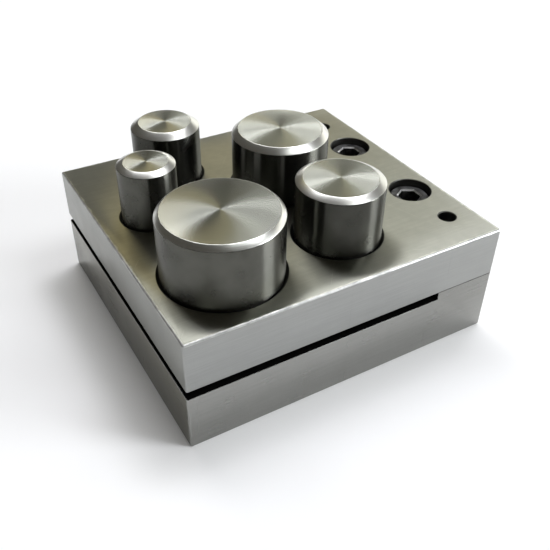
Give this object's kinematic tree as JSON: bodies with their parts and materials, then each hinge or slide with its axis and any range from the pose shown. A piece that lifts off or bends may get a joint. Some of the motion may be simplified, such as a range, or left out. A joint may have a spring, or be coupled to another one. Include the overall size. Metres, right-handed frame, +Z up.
{
  "type": "jewelers disc cutter",
  "caption": "Two-plate steel disc cutter block with a sheet slot and loose round punches standing in its bores.",
  "frame": {"origin": "middle of the block's underside, on the bench", "axes": "+Z up along the punches, +X to the right, +Y to the back, towards the bolted strip; the sheet slot opens to -Y and to both sides"},
  "size_m": [0.0708, 0.0762, 0.0418],
  "materials": {
    "ground_steel": "surface ground, satin",
    "punch_steel": "cylindrically ground and polished, ends turned",
    "black_screw": "black oxide",
    "pin_steel": "ground"
  },
  "bodies": {
    "block": {"guide_plate": "ground_steel", "die_plate": "ground_steel", "cap_screw_left": "black_screw", "cap_screw_right": "black_screw", "dowel_pin_left": "pin_steel", "dowel_pin_right": "pin_steel"},
    "half_inch": {"punch_half_inch": "punch_steel"},
    "five_eighths": {"punch_five_eighths": "punch_steel"},
    "three_quarter": {"punch_three_quarter": "punch_steel"},
    "seven_eighths": {"punch_seven_eighths": "punch_steel"},
    "one_inch": {"punch_one_inch": "punch_steel"}
  },
  "joints": [
    {"name": "half_inch_lift", "type": "slide", "parent": "block", "child": "half_inch", "axis": [0, 0, 1], "range_m": [0, 0.03]},
    {"name": "five_eighths_lift", "type": "slide", "parent": "block", "child": "five_eighths", "axis": [0, 0, 1], "range_m": [0, 0.03]},
    {"name": "three_quarter_lift", "type": "slide", "parent": "block", "child": "three_quarter", "axis": [0, 0, 1], "range_m": [0, 0.03]},
    {"name": "seven_eighths_lift", "type": "slide", "parent": "block", "child": "seven_eighths", "axis": [0, 0, 1], "range_m": [0, 0.03]},
    {"name": "one_inch_lift", "type": "slide", "parent": "block", "child": "one_inch", "axis": [0, 0, 1], "range_m": [0, 0.03]}
  ]
}
